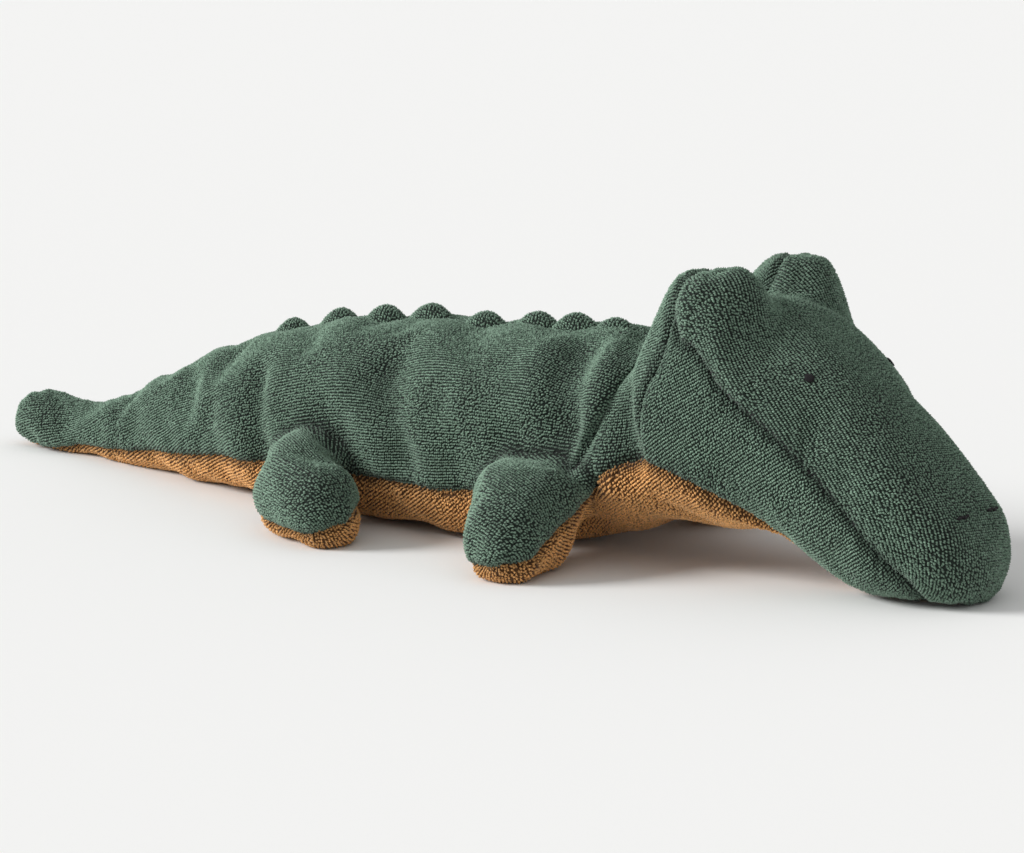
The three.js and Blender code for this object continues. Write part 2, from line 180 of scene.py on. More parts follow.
headShares = [  # place along, half width, top, bottom, chin seam, seam beside the head's top
    (0.22, 0.915, 0.85, 0.12, 0.34, 0.75), (0.249, 0.98, 0.9, 0.145, 0.405, 0.82),
    (0.27, 1, 0.945, 0.15, 0.4, 0.82), (0.299, 0.98, 0.965, 0.16, 0.355, 0.74),
    (0.33, 0.93, 0.925, 0.165, 0.26, 0.665), (0.364, 0.865, 0.825, 0.12, 0.145, 0.56),
    (0.398, 0.79, 0.695, 0.035, 0.045, 0.42), (0.431, 0.71, 0.555, 0, 0.008, 0.245),
    (0.46, 0.61, 0.415, 0, 0.004, 0.085), (0.479, 0.48, 0.32, 0.008, 0.009, 0.045),
    (0.487, 0.35, 0.27, 0.035, 0.035, 0.06), (0.4925, 0.12, 0.2, 0.09, 0.09, 0.11),
]
cage = {
    "stations": [
        -261, -257.5, -250, -238, -223, -207, -190, -174, -158, -141, -124, -108, -92, -75,
        -58, -42, -26, -10, 6, 22, 38, 54, 68, 82, 96, 108, 120, 134,
        147, 160, 173, 187, 201, 215, 228, 240, 248, 253, 256, 257,
    ],
    "leans": {120: 0.12, 134: 0.5, 147: 0.38, 160: 0.25, 173: 0.12, 187: 0.04},  # the back of the head slants
    "leanFrom": 66,  # height from which a station leans
    "seamRow": 3,  # rows of one half: 0 is the middle of the belly, 3 the side seam, 5 the head's top seam
    "flankRow": 5,
    "backRow": 10,
    "tipEnd": -158,
    "tailEnd": -58,
    "torsoEnd": 96,
    "neckEnd": 120,
    "headSeam": 134,
    "snoutEnd": 240,  # from here the top's cloth wraps the snout down to the chin
    "cornerIn": 5, "cornerRow": 0.5,  # how far the corners of a leg's root are drawn in, to round it
    "passes": 4, "legShare": 0.4,  # how often and how nearly it is led through the cage's points
}
legs = {
    "halfWidth": 20,
    "height": 39,
    "topAngle": 0.98, "lowAngle": -1.45,  # of the edges of a leg's top and sole
    "endRound": 0.85, "toeAhead": 3, "lookAlong": 0.03,
    "front": {
        "hip": (81.5, 41.352), "length": 51, "heading": 21, "from": 54, "to": 108,
        "rings": [0.32, 0.46, 0.62, 0.77, 0.89, 0.97],
        "shares": [  # along, half width, top, bottom, sole's seam behind and in front
            (0.2, 1.2, 1.05, 0.1, 0.52, 0.66), (0.36, 1.08, 1.02, 0, 0.38, 0.6),
            (0.58, 0.94, 0.94, 0, 0.2, 0.48), (0.78, 0.79, 0.8, 0, 0.13, 0.32),
            (0.92, 0.6, 0.66, 0.01, 0.13, 0.22), (1, 0.22, 0.42, 0.1, 0.17, 0.2),
        ],
    },
    "hind": {
        "hip": (-29.5, 44.438), "reach": 32, "foot": 44, "from": -58, "to": -10,
        "rings": [0.26, 0.42, 0.56, 0.7, 0.84, 0.93, 0.985],
        "shares": [
            (0.15, 0.86, 0.97, 0.05, 0.4, 0.65), (0.33, 0.84, 0.93, 0, 0.22, 0.55),
            (0.55, 0.84, 0.86, 0, 0.14, 0.5), (0.76, 0.8, 0.79, 0, 0.12, 0.42),
            (0.92, 0.64, 0.7, 0.01, 0.17, 0.36), (1, 0.24, 0.5, 0.18, 0.27, 0.33),
        ],
    },
}
panelNames = ["right side", "left side", "underside", "head top", "right cheek", "left cheek"]
legNames = ["", "front_leg_right", "front_leg_left", "hind_leg_right", "hind_leg_left"]


def sectionTable():
    rows = []
    for x, width, top, bottom, seam in trunkShares:
        flank = seam + toy["flankShare"] * (top - seam)
        rows.append((x * toy["length"], width * toy["halfWidth"],
                     *(toy["backHeight"] * share for share in (top, bottom, seam, flank))))
    for x, width, *heights in headShares:
        rows.append((x * toy["length"], width * toy["halfWidth"],
                     *(toy["crownHeight"] * share for share in heights)))
    return np.array(rows)


def smoothThrough(table, at):
    places = table[:, 0]
    slopes = np.gradient(table, places, axis=0)
    at = min(max(at, places[0]), places[-1])
    i = min(max(int(np.searchsorted(places, at)) - 1, 0), len(places) - 2)
    gap = places[i + 1] - places[i]
    t = (at - places[i]) / gap
    return ((2 * t**3 - 3 * t**2 + 1) * table[i] + (t**3 - 2 * t**2 + t) * gap * slopes[i]
            + (3 * t**2 - 2 * t**3) * table[i + 1] + (t**3 - t**2) * gap * slopes[i + 1])


def roundPlace(halfWidth, top, bottom, angle, square):
    middle = bottom + toy["middleShare"] * (top - bottom)
    reach = top - middle if angle > 0 else middle - bottom
    return halfWidth * abs(math.cos(angle)) ** square, middle + reach * math.sin(angle)


def heightAngle(top, bottom, height):
    middle = bottom + toy["middleShare"] * (top - bottom)
    reach = top - middle if height > middle else middle - bottom
    return math.asin(max(-toy["steepest"], min(toy["steepest"], (height - middle) / reach)))


def halfOf(row):
    return min(row, 2 * cage["backRow"] - row)


def skinPlace(table, station, row):
    half = halfOf(row)
    side = -1 if row < cage["backRow"] else 1
    x = station
    for _ in range(5):  # a leaning station's place depends on its own height
        _, halfWidth, top, bottom, seam, flank = smoothThrough(table, x)
        bounds = [-math.pi / 2, heightAngle(top, bottom, seam), heightAngle(top, bottom, flank), math.pi / 2]
        angle = float(np.interp(half, [0, cage["seamRow"], cage["flankRow"], cage["backRow"]], bounds))
        square = np.interp(x, [toy["headFrom"], toy["headTo"]], [toy["squareShare"], toy["headSquareShare"]])
        lowSquare = np.interp(x, *zip(*toy["lowSquares"]))
        across, z = roundPlace(halfWidth, top, bottom, angle, square if angle > 0 else lowSquare)
        x = station + cage["leans"].get(station, 0) * max(z - cage["leanFrom"], 0)
    return Vector((x, side * across if half not in (0, cage["backRow"]) else 0, z)) * mm


def legLine(kind, side):
    leg = legs[kind]
    hip = np.array((leg["hip"][0], side * leg["hip"][1]))
    t = np.linspace(0, 1, 60)[:, None]
    if kind == "front":
        heading = math.radians(leg["heading"])
        return hip + t * leg["length"] * np.array((math.sin(heading), side * math.cos(heading)))
    knee = hip + (0, side * leg["reach"])
    toe = knee + (leg["foot"], 0)
    return (1 - t) ** 2 * hip + 2 * t * (1 - t) * knee + t**2 * toe


def legPlace(kind, side, ring, row, column):
    leg = legs[kind]
    line = legLine(kind, side)
    steps = np.linalg.norm(np.diff(line, axis=0), axis=1)
    along = np.concatenate(([0], np.cumsum(steps))) / steps.sum()
    share = leg["rings"][ring - 1]
    spots = (share, min(share + legs["lookAlong"], 1), share - legs["lookAlong"])
    at, ahead, behind = (np.array([np.interp(spot, along, line[:, i]) for i in (0, 1)]) for spot in spots)
    way = (ahead - behind) / np.linalg.norm(ahead - behind)
    across = np.array((way[1], -way[0])) * side  # from the leg's rear edge to its front edge
    table = np.array(leg["shares"])
    _, width, top, bottom, behindSeam, frontSeam = smoothThrough(table, share)
    top, bottom = legs["height"] * top, legs["height"] * bottom
    columns = cage["stations"].index(leg["to"]) - cage["stations"].index(leg["from"])
    beside = 2 * column / columns - 1  # -1 at the leg's rear edge, 1 at its front edge
    seam = legs["height"] * (frontSeam if beside > 0 else behindSeam)
    sewn = heightAngle(top, bottom, seam)
    high = legs["topAngle"]
    angle = {2: (sewn + legs["lowAngle"]) / 2, 3: sewn, 4: (sewn + high) / 2, 5: high}[row]
    if row in (2, 5) and abs(beside) < 1:
        angle = math.copysign(math.pi / 2 - legs["endRound"] * abs(beside), angle)
    offset, z = roundPlace(legs["halfWidth"] * width, top, bottom, angle, toy["squareShare"])
    if row in (3, 4) and abs(beside) < 1:  # the toe's own points
        offset *= abs(beside)
        at = at + way * legs["toeAhead"]
    spot = at + across * offset * np.sign(beside)
    return Vector((spot[0], spot[1], z)) * mm


def makeCage():
    table = sectionTable()
    stations = cage["stations"]
    around = 2 * cage["backRow"]
    bm = bmesh.new()
    rowOf = bm.verts.layers.int.new("row")
    stationOf = bm.verts.layers.int.new("station")
    legOf = bm.verts.layers.int.new("leg")
    bmesh.ops.create_grid(bm, x_segments=len(stations) - 1, y_segments=around, size=1)
    for vert in bm.verts:
        vert[stationOf] = round((vert.co.x + 1) / 2 * (len(stations) - 1))
        vert[rowOf] = round((vert.co.y + 1) / 2 * around)
        vert.co = skinPlace(table, stations[vert[stationOf]], vert[rowOf])
        vert[rowOf] %= around
    bmesh.ops.remove_doubles(bm, verts=bm.verts, dist=0.01 * mm)
    ends = [edge for edge in bm.edges if edge.is_boundary]
    caps = bmesh.ops.holes_fill(bm, edges=ends, sides=0)["faces"]
    bmesh.ops.poke(bm, faces=caps)

    for number, name in enumerate(legNames[1:], 1):
        kind = name.split("_")[0]
        side = -1 if name.endswith("right") else 1
        first, last = stations.index(legs[kind]["from"]), stations.index(legs[kind]["to"])

        def inRoot(face):
            halves = [halfOf(v[rowOf]) for v in face.verts]
            onSide = all(v.co.y * side > 0 for v in face.verts)
            span = all(first <= v[stationOf] <= last for v in face.verts)
            return onSide and span and min(halves) >= cage["seamRow"] - 1 and max(halves) <= cage["flankRow"]

        faces = [face for face in bm.faces if len(face.verts) == 4 and inRoot(face)]
        for vert in {vert for face in faces for vert in face.verts}:
            half = halfOf(vert[rowOf])
            if half in (2, 5) and vert[stationOf] in (first, last):
                inward = cage["cornerIn"] * (1 if vert[stationOf] == first else -1)
                row = half + cage["cornerRow"] * (1 if half == 2 else -1)
                row = row if side < 0 else around - row
                vert.co = skinPlace(table, stations[vert[stationOf]] + inward, row)
        for ring in range(1, len(legs[kind]["rings"]) + 1):
            grown = bmesh.ops.extrude_face_region(bm, geom=faces)["geom"]
            bmesh.ops.delete(bm, geom=faces, context="FACES")
            faces = [item for item in grown if isinstance(item, bmesh.types.BMFace)]
            for vert in (item for item in grown if isinstance(item, bmesh.types.BMVert)):
                vert[legOf] = number
                vert.co = legPlace(kind, side, ring, halfOf(vert[rowOf]), vert[stationOf] - first)
    bmesh.ops.recalc_face_normals(bm, faces=bm.faces)
    markPanels(bm, rowOf, stationOf, legOf)
    print("cage:", len(bm.faces), "faces")
    return newObject("skin", bm)


def markPanels(bm, rowOf, stationOf, legOf):
    names = ("headSeam", "snoutEnd", "tipEnd", "tailEnd", "torsoEnd", "neckEnd")
    headFrom, snoutFrom, *ends = (cage["stations"].index(cage[name]) for name in names)
    panel = bm.faces.layers.int.new("panel")
    leg = bm.faces.layers.int.new("legNumber")
    part = bm.faces.layers.int.new("part")
    for face in bm.faces:
        ringed = [v for v in face.verts if len(v.link_faces) < 10]  # all but an end cap's middle point
        halves = [halfOf(v[rowOf]) for v in ringed]
        right = sum(v.co.y for v in face.verts) < 0
        low = max(halves) <= cage["seamRow"]
        first = min(v[stationOf] for v in ringed)
        ahead, capped = first >= headFrom, len(ringed) < len(face.verts)
        if low and not (ahead and (capped or first > snoutFrom)):
            face[panel] = 2
        elif ahead and (first >= snoutFrom or max(halves) > cage["flankRow"]):
            face[panel] = 3
        elif ahead:
            face[panel] = 4 if right else 5
        else:
            face[panel] = 0 if right else 1
        face[leg] = max(v[legOf] for v in face.verts)
        face[part] = sum(min(v[stationOf] for v in ringed) >= end for end in ends)


def evaluated(obj):
    bpy.context.view_layer.update()
    return bpy.data.meshes.new_from_object(obj.evaluated_get(bpy.context.evaluated_depsgraph_get()))


def subdivided(obj, levels):
    modifier = obj.modifiers.new("round", "SUBSURF")
    modifier.levels = modifier.render_levels = levels
    modifier.uv_smooth = "PRESERVE_BOUNDARIES"
    mesh = evaluated(obj)
    obj.modifiers.remove(modifier)
    return mesh


def valuesOf(items, name, width=1, kind=np.float32):
    found = np.empty(len(items) * width, kind)
    items.foreach_get(name, found)
    return found.reshape(-1, width) if width > 1 else found


def placesOf(mesh):
    return valuesOf(mesh.vertices, "co", 3).astype(float)


def normalsOf(mesh):
    return valuesOf(mesh.vertex_normals, "vector", 3).astype(float)


def numbersOf(mesh, name):
    return valuesOf(mesh.attributes[name].data, "value", kind=np.int32)


def setPlaces(mesh, places):
    mesh.vertices.foreach_set("co", places.astype(np.float32).ravel())
    mesh.update()


def roundCage(obj):
    wanted = placesOf(obj.data)
    onLeg = numbersOf(obj.data, "leg") > 0
    for _ in range(cage["passes"]):
        mesh = subdivided(obj, 2)
        missed = wanted - placesOf(mesh)[: len(wanted)]
        missed[onLeg] *= cage["legShare"]
        setPlaces(obj.data, placesOf(obj.data) + missed)
        bpy.data.meshes.remove(mesh)
    obj.data = subdivided(obj, 2)
    print("skin:", len(obj.data.polygons), "faces")


# Big forms of the head and the folds of the cloth; the folds' points lie on the skin, in mm
bumps = {
    "place": (155, 27), "top": 116, "ahead": 18, "behind": 24, "across": 16, "flatness": 2.2,
    "from": 60, "fromOver": 30,  # the height from which the head takes part, and over which it comes to do so
}
folds = {
    "right": [  # depth, half width, points
        (4.6, 8, [(-72, -36, 52), (-70, -42, 40), (-66, -45, 26)]),
        (3, 12, [(-48, -44, 46), (-30, -46, 42), (-18, -47, 38)]),
        (5.6, 11, [(0, -37, 64), (9, -44, 50), (18, -47, 32)]),
        (2.4, 8, [(33, -42, 57), (37, -47, 30)]),
        (1.4, 4, [(42, -46, 44), (43, -47, 26)]),
        (4.6, 11, [(87, -24, 79), (90, -37, 67), (96, -42, 57), (106, -43, 49)]),
        (4.2, 8.5, [(108, -12, 86), (116, -30, 79), (121, -41, 68), (123, -45, 56), (127, -46, 46)]),
        (3.8, 8.5, [(121, -42, 65), (122, -43, 56), (126, -44, 45)]),
        (3.2, 12, [(50, -46, 42), (57, -47, 36), (66, -47, 43), (80, -45, 50), (94, -44, 51)]),
        (1.2, 4, [(-177, -17, 26), (-178, -19, 8)]),
        (1.4, 7, [(-104, -22, 54), (-98, -36, 36)]),
    ],
    "left": [
        (4.2, 8, [(-75, 36, 51), (-71, 42, 38), (-70, 44, 26)]),
        (2.6, 8, [(-46, 44, 47), (-29, 46, 43), (-14, 47, 38)]),
        (5, 10, [(10, 36, 66), (6, 45, 48), (12, 47, 28)]),
        (1.6, 6, [(32, 43, 55), (29, 47, 30)]),
        (4.6, 8, [(88, 25, 78), (92, 38, 66), (101, 43, 52)]),
        (4, 8.5, [(108, 12, 86), (116, 30, 78), (121, 41, 67), (123, 45, 55), (127, 46, 46)]),
        (3.2, 8.5, [(121, 42, 64), (122, 43, 55), (126, 44, 45)]),
        (3.2, 12, [(52, 46, 41), (58, 47, 37), (67, 47, 44), (82, 45, 50), (95, 44, 50)]),
        (1.3, 6, [(-110, 22, 50), (-103, 34, 34)]),
    ],
    "lipShare": 0.35,  # how far a fold's lips stand up, of its depth
}
ridges = [  # height, half width, points
    (4.5, 10, [(114, -44, 38), (108, -50, 33), (101, -57, 28)]),
    (4.5, 10, [(114, 44, 38), (108, 50, 33), (101, 57, 28)]),
    (3.4, 7.5, [(104, -18, 80), (107, -34, 69), (109, -41, 60), (111, -44, 50)]),
    (3, 7.5, [(105, 18, 80), (106, 34, 69), (109, 41, 60), (111, 44, 50)]),
    (2, 8, [(72, -30, 76), (76, -40, 64), (82, -45, 56)]),
    (1.8, 8, [(70, 30, 76), (77, 40, 64), (84, 45, 56)]),
    (1.5, 9, [(-40, -38, 62), (-20, -42, 55)]),
]
softness = {
    "height": 0.7, "phase": 1.7,
    "waves": ((0.128, 0.09, 0.109), (0.071, 0.174, 0.149), (0.204, 0.044, 0.187)),
}
seams = {
    "depth": 2, "halfWidth": 2, "backDepth": 1,
    "shade": 0.85, "shadeWidth": 2.8, "foldShade": 0.07,  # painted shade along seams and in folds: how much darker the loops are painted there
    "pucker": 0.32, "puckerWave": 0.95, "puckerReach": 7,
    "puckerDrift": (2, 0.23), "puckerSlant": 0.6,  # how uneven the waves are, and how they slant
    "rootDepth": 0.5, "rootHalfWidth": 6,  # the crease round a leg's upper side
    "rootFrom": 22,  # its lowest point
    "rootShadeWidth": 1.3,  # how much narrower its shade is
    "turnedIn": 1.8,  # the cloth turned inwards at a seam
    "underlap": 9, "sink": 1.6, "flangeSteps": 3,  # a flange at a front leg's root, under the side's cloth
    "rootMiddle": 0.6,  # the height of the root's middle, of the leg's
    "clearance": 0.9,  # from the floor to the cloth, which the loops fill
}
stuffing = {
    "pressure": 4, "frames": 20, "extraCloth": 0.012, "bending": 1.2, "tension": 18,
    "moves": ((94, 4), (106, 1), (134, 1), (146, 4)),  # place along, how far the cloth moves at most
    "rises": ((90, 0.8), (130, 4)),  # the same upwards
    "hold": 1.6, "holdOver": 2.5,  # how firmly a seam is held (1 is fully), and how far off it falls by 1
    "restsTo": 0.4,  # how far above its lowest the cloth is held as well
    "foldsBefore": 0.75,  # the share of the folds that is sculpted before the cloth is stuffed
}


def sculptHead(mesh):
    places = placesOf(mesh) / mm
    x, y, z = places.T
    forward = x - bumps["place"][0]
    reach = np.where(forward > 0, bumps["ahead"], bumps["behind"])
    sideways = (np.abs(y) - bumps["place"][1]) / bumps["across"]
    upper = np.clip((z - bumps["from"]) / bumps["fromOver"], 0, 1)
    hill = np.exp(-(((forward / reach) ** 2 + sideways**2) ** bumps["flatness"]))
    places[:, 2] += upper * hill * np.maximum(bumps["top"] - z, 0)
    setPlaces(mesh, places * mm)


def distanceToLine(places, points):
    points = np.array(points, float)
    best = np.full(len(places), np.inf)
    for a, b in zip(points[:-1], points[1:]):
        t = np.clip((places - a) @ (b - a) / ((b - a) @ (b - a)), 0, 1)
        best = np.minimum(best, np.linalg.norm(places - a - t[:, None] * (b - a), axis=1))
    return best


# pileShade holds painted shade: how much darker the loops are painted in seams, a leg's root crease and folds
def addShade(mesh, shade):
    layer = mesh.attributes.get("pileShade") or mesh.attributes.new("pileShade", "FLOAT", "POINT")
    before = valuesOf(layer.data, "value")
    layer.data.foreach_set("value", np.clip(before + shade, 0, 1).astype(np.float32))


def sculptFolds(mesh, share):
    places, normals = placesOf(mesh) / mm, normalsOf(mesh)
    lift = np.zeros(len(places))
    for depth, width, points in folds["right"] + folds["left"]:
        apart = distanceToLine(places, points) / width
        lift -= depth * (1 - folds["lipShare"] * apart**2) * np.exp(-(apart**2))
    # painted shade: the loops are painted darker in each fold, the deeper the darker
    addShade(mesh, -np.minimum(lift, 0) * seams["foldShade"] * share)
    for height, width, points in ridges:
        lift += height * np.exp(-((distanceToLine(places, points) / width) ** 2))
    for i, wave in enumerate(softness["waves"]):
        lift += softness["height"] / (i + 1) * np.sin(places @ np.array(wave) + softness["phase"] * i)
    places += normals * (lift * share)[:, None]
    places[:, 2] = np.maximum(places[:, 2], seams["clearance"])
    setPlaces(mesh, places * mm)


# Seams, where two panels meet, and the creases where a leg is drawn in
def seamLines(mesh):
    bm = bmesh.new()
    bm.from_mesh(mesh)
    panel, leg = bm.faces.layers.int["panel"], bm.faces.layers.int["legNumber"]
    lines = {"seam": [], "back": [], "root": []}
    for edge in bm.edges:
        a, b = edge.link_faces
        spots = [edge.verts[0].co / mm, (edge.verts[0].co + edge.verts[1].co) / 2 / mm]
        if {a[panel], b[panel]} == {0, 1}:
            lines["back"] += spots
        elif a[panel] != b[panel]:
            lines["seam"] += spots
        elif a[leg] != b[leg] and spots[1].z > seams["rootFrom"]:
            lines["root"] += spots
    bm.free()
    return lines


def treeOf(numbered):
    tree = kdtree.KDTree(len(numbered))
    for number, place in numbered:
        tree.insert(place, number)
    tree.balance()
    return tree


def nearest(places, spots):
    tree = treeOf(list(enumerate(spots)))
    return np.array([tree.find(place)[2] for place in places])


def drawInSeams(mesh):
    places, normals = placesOf(mesh) / mm, normalsOf(mesh)
    lines = seamLines(mesh)
    toSeam, toBack, toRoot = (nearest(places, lines[name]) for name in ("seam", "back", "root"))
    lift = np.zeros(len(places))
    for apart, depth, width in ((toSeam, "depth", "halfWidth"), (toBack, "backDepth", "halfWidth"),
                                (toRoot, "rootDepth", "rootHalfWidth")):
        lift -= seams[depth] * np.exp(-((apart / seams[width]) ** 2))
    wave = seams["puckerWave"]
    drift, slower = seams["puckerDrift"]
    ripple = np.sin(places[:, 0] * wave + drift * np.sin(places[:, 0] * wave * slower)
                    + places[:, 1] * wave * seams["puckerSlant"])
    # painted shade: the loops are painted darker along each seam and the crease round a leg's top, where the
    # cloth dips in
    shaded = np.minimum(toSeam, toRoot * seams["rootShadeWidth"]) / seams["shadeWidth"]
    addShade(mesh, seams["shade"] * np.exp(-(shaded**2)))
    near = np.minimum(toSeam, toBack)
    lift += seams["pucker"] * ripple * np.exp(-((near / seams["puckerReach"]) ** 2))
    places += normals * lift[:, None]
    places[:, 2] = np.maximum(places[:, 2], seams["clearance"])
    setPlaces(mesh, places * mm)


# The cloth's pattern: each panel laid flat in metres, rows of loops along +U
def layPanelsFlat(obj):
    mesh = obj.data
    bm = bmesh.new()
    bm.from_mesh(mesh)
    panel, leg = bm.faces.layers.int["panel"], bm.faces.layers.int["legNumber"]
    for edge in bm.edges:
        a, b = edge.link_faces
        edge.seam = a[panel] != b[panel] or a[leg] != b[leg]
    bm.loops.layers.uv.new("cloth")
    bm.to_mesh(mesh)
    bm.free()
    bpy.context.view_layer.objects.active = obj
    obj.select_set(True)
    bpy.ops.object.mode_set(mode="EDIT")
    bpy.ops.mesh.select_all(action="SELECT")
    bpy.ops.uv.unwrap(method="MINIMUM_STRETCH", iterations=20, margin=0)
    bpy.ops.object.mode_set(mode="OBJECT")

    flat = valuesOf(mesh.uv_layers["cloth"].uv, "vector", 2).astype(float) @ np.array((1, 1j))
    starts, counts = (valuesOf(mesh.polygons, name, kind=np.int32) for name in ("loop_start", "loop_total"))
    face = np.repeat(np.arange(len(starts)), counts)
    after = np.arange(len(flat)) + 1
    after[starts + counts - 1] = starts
    places = placesOf(mesh)[valuesOf(mesh.loops, "vertex_index", kind=np.int32)]
    chart = (numbersOf(mesh, "panel") + 10 * numbersOf(mesh, "legNumber"))[face]
    stepFlat, step = flat[after] - flat, places[after] - places
    for number in np.unique(chart):
        mine = chart == number
        turn = np.exp(-1j * np.angle((stepFlat[mine] * step[mine, 0]).sum()))
        scale = np.linalg.norm(step[mine], axis=1).sum() / np.abs(stepFlat[mine]).sum()
        laid = flat[mine] * turn * scale
        laid -= laid.real.min() - places[mine, 0].min()
        apart = pile["laidApart"] * mm
        edge = laid.imag.max() + apart if number % 10 in (1, 5) else laid.imag.min() - apart
        flat[mine] = laid - 1j * edge  # left panels lie below the line, the rest above it
        name = " ".join((panelNames[number % 10], legNames[number // 10]))
        print("sheet", name, (np.ptp(laid.real) / mm).round(), "by", (np.ptp(laid.imag) / mm).round(), "mm")
    uv = np.stack([flat.real, flat.imag], 1)
    mesh.uv_layers["cloth"].uv.foreach_set("vector", uv.astype(np.float32).ravel())
    print("cloth pattern:", len(np.unique(chart)), "charts", uv.min(0).round(3), uv.max(0).round(3))


def stuff(obj):
    mesh = obj.data
    before = placesOf(mesh)
    lines = seamLines(mesh)
    toSeam = nearest(before / mm, lines["seam"] + lines["back"])
    group = obj.vertex_groups.new(name="held")
    held = np.clip(stuffing["hold"] - toSeam / stuffing["holdOver"], 0, 1)
    held[before[:, 2] < (seams["clearance"] + stuffing["restsTo"]) * mm] = 1
    for i in np.flatnonzero(held > 0):
        group.add([int(i)], float(held[i]), "REPLACE")
    cloth = obj.modifiers.new("stuffing", "CLOTH")
    settings = cloth.settings
    settings.use_pressure = True
    settings.uniform_pressure_force = stuffing["pressure"]
    settings.effector_weights.gravity = 0
    settings.vertex_group_mass = "held"
    settings.shrink_min = -stuffing["extraCloth"]
    settings.bending_stiffness = stuffing["bending"]
    settings.tension_stiffness = settings.compression_stiffness = stuffing["tension"]
    cloth.collision_settings.use_collision = False
    cloth.point_cache.frame_start, cloth.point_cache.frame_end = 1, stuffing["frames"]
    for number in range(1, stuffing["frames"] + 1):
        bpy.context.scene.frame_set(number)
    filled = evaluated(obj)
    moved = placesOf(filled) - before
    far = np.linalg.norm(moved, axis=1)
    print("stuffing: moves", (np.percentile(far, [50, 90, 99, 100]) / mm).round(2), "mm")
    most, rise = (np.interp(before[:, 0] / mm, *zip(*stuffing[name])) * mm for name in ("moves", "rises"))
    moved *= (np.minimum(far, most) / np.maximum(far, 1e-9))[:, None]
    moved[:, 2] = np.minimum(moved[:, 2], rise)
    after = before + moved
    after[:, 2] = np.maximum(after[:, 2], seams["clearance"] * mm)
    obj.modifiers.remove(cloth)
    obj.vertex_groups.remove(group)
    bpy.data.meshes.remove(filled)
    bpy.context.scene.frame_set(1)
    setPlaces(mesh, after)


# Terry loops: one small arch of yarn, set out in rows over the flat pattern
pile = {
    "rowPitch": 1.3, "pitch": 0.96, "span": 0.8, "thick": 0.9, "height": 1.0, "sides": 3, "steps": 2,
    "slant": 34, "swing": 28, "lean": 20,  # degrees
    "sizes": (0.84, 1.2),
    "loopSizes": {"green_terry": 0.9, "ochre_terry": 1, "head_top": 0.94},
    "grains": {"ochre_terry": 32, "head_top": -6, "cheek_right": 62, "cheek_left": -62},  # degrees
    "wander": 0.32, "headWander": 0.29, "strayAcross": 0.8,  # how far a loop strays, less across its row
    "messScale": 45,  # places where the loops stray more and less
    "mess": {"From Min": 0.35, "From Max": 0.65, "To Min": 0.5, "To Max": 1.6},
    "leastTone": 0.1,  # the darkest loop's tone; the cloth under the loops has none
    "laidApart": 2,  # from the line between the left panels and the rest of the pattern
    "trim": 0.01,  # the map's margin
    "seedsApart": 10,  # between one piece and the next
}


def makeLoop(material):
    bm = bmesh.new()
    reach, high = pile["span"] / 2 * mm, pile["height"] * mm
    ring = bmesh.ops.create_circle(bm, segments=pile["sides"], radius=pile["thick"] / 2 * mm)["verts"]
    bmesh.ops.translate(bm, verts=ring, vec=(reach, 0, 0))
    bmesh.ops.spin(bm, geom=ring + bm.edges[:], axis=(0, -1, 0), cent=(0, 0, 0), angle=math.pi,
                   steps=pile["steps"], use_duplicate=False)
    bmesh.ops.scale(bm, verts=bm.verts, vec=(1, 1, high / (reach + pile["thick"] / 2 * mm)))
    bmesh.ops.recalc_face_normals(bm, faces=bm.faces)
    height = bm.verts.layers.float.new("pileHeight")
    offset = bm.verts.layers.float_vector.new("pileOffset")
    for vert in bm.verts:
        vert[height] = max(0, vert.co.z / high)
        vert[offset] = (vert.co.x, vert.co.y, 0)
    loop = finished("loop_" + material.name, bm, material)
    loop.hide_render = True
    return loop


